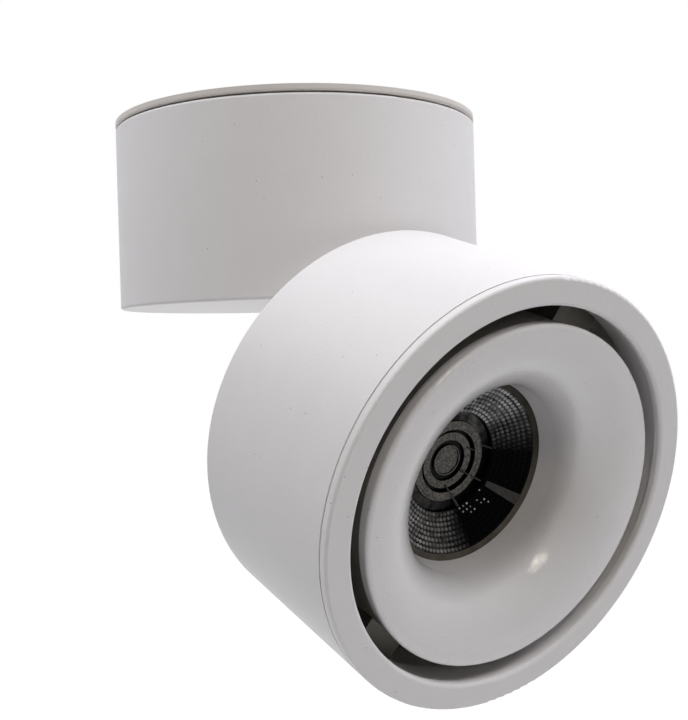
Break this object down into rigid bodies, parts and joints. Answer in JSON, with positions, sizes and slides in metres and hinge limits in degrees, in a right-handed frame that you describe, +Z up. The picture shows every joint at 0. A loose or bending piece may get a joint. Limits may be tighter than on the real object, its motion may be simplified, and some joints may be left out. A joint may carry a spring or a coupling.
{
  "type": "surface mounted ceiling spotlight",
  "caption": "Surface mounted ceiling spotlight: a round base on a ceiling plate and a round lamp head of the same diameter that swivels and folds out on a rim hinge.",
  "frame": {"origin": "centre of the ceiling plate's upper face, midway between the two screw slots", "axes": "+Z up into the ceiling; the folded-out head points to -Y; X runs along the hinge pin and through the screw slots"},
  "size_m": [0.1, 0.1521, 0.1453],
  "materials": {
    "powder_white": "matte",
    "plate_white": "matte",
    "cast_white": "matte",
    "zinc_steel": "satin",
    "hinge_steel": "satin",
    "spring_steel": "satin",
    "screw_steel": "satin",
    "brass_screw": "plain brass",
    "terminal_white": "matte",
    "nylon": "natural nylon",
    "grommet_rubber": "matte",
    "driver_plastic": "matte",
    "circuit_board": "solder mask",
    "transformer_core": "ferrite and tape",
    "capacitor_can": "sleeved can",
    "sink_aluminium": "matte",
    "thermal_pad": "silicone pad",
    "led_board": "metal-core board with phosphor",
    "holder_plastic": "matte",
    "seat_black": "matte",
    "lens_clear": "gloss"
  },
  "bodies": {
    "ceiling_plate": {"mounting_plate": "plate_white", "swivel_tube": "zinc_steel", "cable_grommet": "grommet_rubber", "stop_pin": "zinc_steel", "glide_ring": "nylon", "swivel_friction_washer": "nylon", "swivel_disc_spring": "spring_steel", "swivel_lock_nut": "zinc_steel"},
    "base": {"base_housing": "powder_white", "swivel_carrier": "zinc_steel", "side_screws": "screw_steel", "terminal_block": "terminal_white", "terminal_screws": "brass_screw", "cable_clamp": "terminal_white", "clamp_screws": "zinc_steel", "driver_case": "driver_plastic", "driver_lid": "driver_plastic", "driver_board": "circuit_board", "driver_transformer": "transformer_core", "driver_capacitor": "capacitor_can", "driver_screws": "zinc_steel", "hinge_bracket": "cast_white", "bracket_screws": "zinc_steel", "hinge_pin": "hinge_steel", "hinge_washer_left": "nylon", "hinge_washer_right": "nylon", "hinge_disc_spring": "spring_steel", "hinge_nut": "hinge_steel"},
    "head": {"hinge_arm": "cast_white", "arm_screws": "screw_steel", "head_housing": "powder_white", "front_ring": "powder_white", "heat_sink": "sink_aluminium", "lug_screws": "screw_steel", "thermal_pad": "thermal_pad", "led_module": "led_board", "led_holder": "holder_plastic", "holder_screws": "zinc_steel", "lens_seat": "seat_black", "lens": "lens_clear", "funnel": "powder_white"}
  },
  "joints": [
    {"name": "swivel", "type": "hinge", "parent": "ceiling_plate", "child": "base", "pos_m": [0, 0, -0.005], "axis": [0, 0, 1], "range_deg": [-170, 170]},
    {"name": "tilt", "type": "hinge", "parent": "base", "child": "head", "pos_m": [0, -0.04, -0.0415], "axis": [-1, 0, 0], "range_deg": [-73.35, 16.65]}
  ]
}
